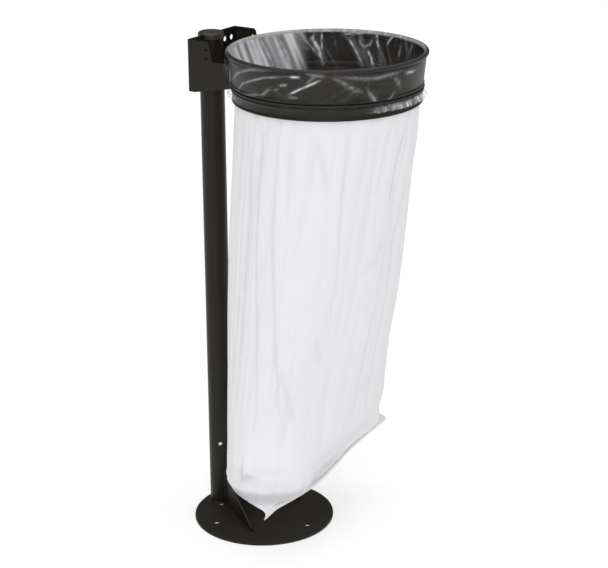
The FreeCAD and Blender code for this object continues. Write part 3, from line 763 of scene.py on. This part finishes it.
def film_point(angle, radius, height, kind):
    """Where a point of the film lies, and how milky and how creased the film is there."""
    if kind == "drop":
        return drop_point(angle, height)
    c, s = math.cos(angle), math.sin(angle)
    bunched = smooth(math.cos(math.radians(46)), math.cos(math.radians(33)), -c)
    wave, crease_and_painted_light, milk = 0.0, 0.0, 0.0
    if kind == "liner":
        depth = smooth(0.0, 0.012, RIM_TOP - height)
        lean = angle + (RIM_TOP - height) * 2.2
        cl, sl = math.cos(lean), math.sin(lean)
        fold = ridge(cl * 4.6, sl * 4.6, height * 2.5)
        thin = ridge(cl * 11, sl * 11 + 4, height * 5)
        # painted highlight: the drawn streaks whiten the film here and push a small fold into it;
        # the crests of the noise folds are whitened too, partly as stress whitening and partly as
        # painted highlight
        white = painted_gleam(kind, angle, height)
        wave = -(fold**3 * 3 * MM + thin**3 * 1.5 * MM + white * 4 * MM) * depth
        crease_and_painted_light = max(white, smooth(0.90, 1.0, fold) * 0.10 + smooth(0.94, 1.0, thin) * 0.12)
        milk = bunched * (0.28 + 0.90 * ridge(cl * 9, sl * 9, height * 3) ** 2)
        milk = max(milk, smooth(COLLAR_FOOT + 8 * MM, COLLAR_FOOT - 2 * MM, height))
    elif kind == "cuff":
        slack = math.sin(math.pi * smooth(STRAP_LEVEL, RIM_TOP, height))
        white = painted_gleam(kind, angle, height)
        swag = angle + (height - STRAP_LEVEL) * 9.0 * math.sin(angle * 3 + 1.0)
        fold = ridge(math.cos(swag) * 3.4, math.sin(swag) * 3.4 + 2, height * 6)
        puff = math.exp(-((math.degrees(angle) - 30) / 13) ** 2) * 6
        puff += math.exp(-((math.degrees(angle) + 143) / 9) ** 2) * 7
        wave = (fold**3 * 1.6 + white * 2.2 + puff) * MM * slack
        # painted highlight: the drawn streaks whiten the cuff and raise it a little; the whitened
        # fold crests are partly stress whitening and partly painted highlight
        crease_and_painted_light = max(white, smooth(0.94, 1.0, fold) * 0.10 * slack)
        milk = 0.10 * bunched
    elif kind == "rim":
        inner = smooth(RIM_RADIUS - 4 * MM, RIM_RADIUS - 9 * MM, radius)
        # painted highlight: the inner edge of the rim is whitened as the bright line the film
        # reflects there, strongest on the side that faces the camera, with random gaps
        facing = smooth(0.0, 0.5, math.cos(angle + math.radians(59)))
        uneven = smooth(0.0, 0.5, ripple(c * 30, s * 30, 2.0))
        crease_and_painted_light = 0.02 + (0.40 + 0.45 * facing) * inner + 0.25 * uneven * inner
        milk = 0.25 * bunched
    elif kind == "pinch":
        crease_and_painted_light = 0.15 * smooth(0.0, 0.4, ripple(c * 60, s * 60, 7.0))
    elif kind == "hem":
        free = smooth(STRAP_LEVEL, CUFF_FOOT, height)
        # the ruffles are pushed out and whitened; the white is partly real crumple whitening and
        # partly painted highlight
        ruffle = painted_gleam(kind, angle, height)
        wave = ripple(c * 34, s * 34, 1.0) * 5 + ripple(c * 70, s * 70, height * 40) * 3
        wave = (wave * (0.12 + ruffle) + 5 * ruffle) * MM * free
        crease_and_painted_light = ruffle * (0.35 + 0.65 * smooth(-0.1, 0.4, ripple(c * 60, s * 60, height * 60)))
    arms = min(abs(angle - ARM_ANGLE), abs(angle + ARM_ANGLE)) * RIM_RADIUS
    if kind in ("cuff", "pinch", "hem") and arms < ARM_SPREAD:
        lift = (1 - smooth(ARM_CLEAR, ARM_SPREAD, arms)) * max(0.0, ARM_TOP + ARM_CLEAR - height)
        height += lift * 0.97
        wave += lift * 0.05
        crease_and_painted_light = max(crease_and_painted_light, min(0.5, lift * 12))
    point = Vector((COLLAR_X + (radius + wave) * c, (radius + wave) * s, height))
    return point, milk, crease_and_painted_light


# ------------------------------------------------------------------ setting
def floor(material):
    bm = bmesh.new()
    bmesh.ops.create_grid(bm, x_segments=1, y_segments=1, size=14.0)
    mesh = bpy.data.meshes.new("floor_sheet")
    bm.to_mesh(mesh)
    bm.free()
    sheet = bpy.data.objects.new("floor_sheet", mesh)
    bpy.context.collection.objects.link(sheet)
    mesh.materials.append(material)


def soft_light(name, place, aim, width, power, tint=(1, 1, 1)):
    data = bpy.data.lights.new(name, "AREA")
    data.shape, data.size, data.energy, data.color = "SQUARE", width, power, tint
    lamp = bpy.data.objects.new(name, data)
    bpy.context.collection.objects.link(lamp)
    lamp.location = place
    lamp.rotation_euler = (Vector(aim) - Vector(place)).to_track_quat("-Z", "Y").to_euler()


def studio():
    """A white surround that the coat's gloss sees only dimly, three soft lights and a sky."""
    world = bpy.data.worlds.new("studio")
    world.use_nodes = True
    tree = world.node_tree
    rays = tree.nodes.new("ShaderNodeLightPath")
    seen = tree.nodes.new("ShaderNodeMapRange")
    gloss = tree.nodes.new("ShaderNodeMapRange")
    total = tree.nodes.new("ShaderNodeMath")
    for node, ray, strength in ((seen, "Is Camera Ray", 1.0 - SURROUND),
                                (gloss, "Is Glossy Ray", GLOSS_SURROUND - SURROUND)):
        node.inputs["To Max"].default_value = strength
        tree.links.new(rays.outputs[ray], node.inputs["Value"])
    add = tree.nodes.new("ShaderNodeMath")
    add.inputs[1].default_value = SURROUND
    tree.links.new(seen.outputs[0], add.inputs[0])
    tree.links.new(add.outputs[0], total.inputs[0])
    tree.links.new(gloss.outputs[0], total.inputs[1])
    back = tree.nodes["Background"]
    back.inputs["Color"].default_value = (1, 1, 1, 1)
    tree.links.new(total.outputs[0], back.inputs["Strength"])
    bpy.context.scene.world = world
    soft_light("key", (2.6, 1.6, 2.6), (0.1, 0, 0.7), 1.2, 7)
    soft_light("fill", (2.1, -3.3, 2.3), (0.1, 0, 0.7), 1.6, 28)
    soft_light("streak", (-1.4, -2.8, 2.3), (0.1, 0, 1.0), 0.2, 2.5)
    sky = bpy.data.lights.new("sky", "SUN")
    sky.energy, sky.angle = 1.7, math.radians(80)
    sun = bpy.data.objects.new("sky", sky)
    sun.rotation_euler = Vector((0.3, -0.5, 2.2)).to_track_quat("Z", "Y").to_euler()
    bpy.context.scene.collection.objects.link(sun)
    bpy.context.scene.view_settings.view_transform = "Standard"


def camera():
    """The view: stood back, looking down a little, along the line from the collar's side."""
    eye = Vector((2.2893, -3.1908, 1.9822))
    down, roll = math.radians(19.541), math.radians(-0.374)
    level = Vector((-0.5613, 0.8276, 0)).normalized()
    forward = level * math.cos(down) - UP * math.sin(down)
    right = forward.cross(UP).normalized()
    upward = right.cross(forward)
    turned_right = right * math.cos(roll) + upward * math.sin(roll)
    turned_up = -right * math.sin(roll) + upward * math.cos(roll)
    data = bpy.data.cameras.new("camera")
    image_width, focal = 608, 1796.1
    data.sensor_width = 36.0
    data.lens = focal / image_width * data.sensor_width
    data.shift_x, data.shift_y = -0.0025, 0.0009
    data.clip_end = 60.0
    shot = bpy.data.objects.new("camera", data)
    bpy.context.collection.objects.link(shot)
    frame_axes = Matrix((turned_right, turned_up, -forward)).transposed().to_4x4()
    shot.matrix_world = Matrix.Translation(eye) @ frame_axes
    bpy.context.scene.camera = shot


# ------------------------------------------------------------------ making it
camera()
studio()
floor(floor_white())
coat, cap, zinc, rubber, weld, film = (powder_coat(), cap_plastic(), zinc_plate(),
                                       strap_rubber(), weld_bead(), bag_film())
base_plate(coat)
post_tube(coat)
post_cap(cap)
rivet(zinc)
for side in ("left", "right"):
    softened("gusset_" + side, "gusset_%s_coated" % side, coat, 0.6 * MM)
    softened("bracket_" + side, "bracket_%s_coated" % side, coat, 0.5 * MM)
collar(coat)
strap(rubber)
post_welds(weld)
bag(film)
wire = frame["nodes"]["rim_wire"]
wire.data.materials.clear()
wire.data.materials.append(zinc)
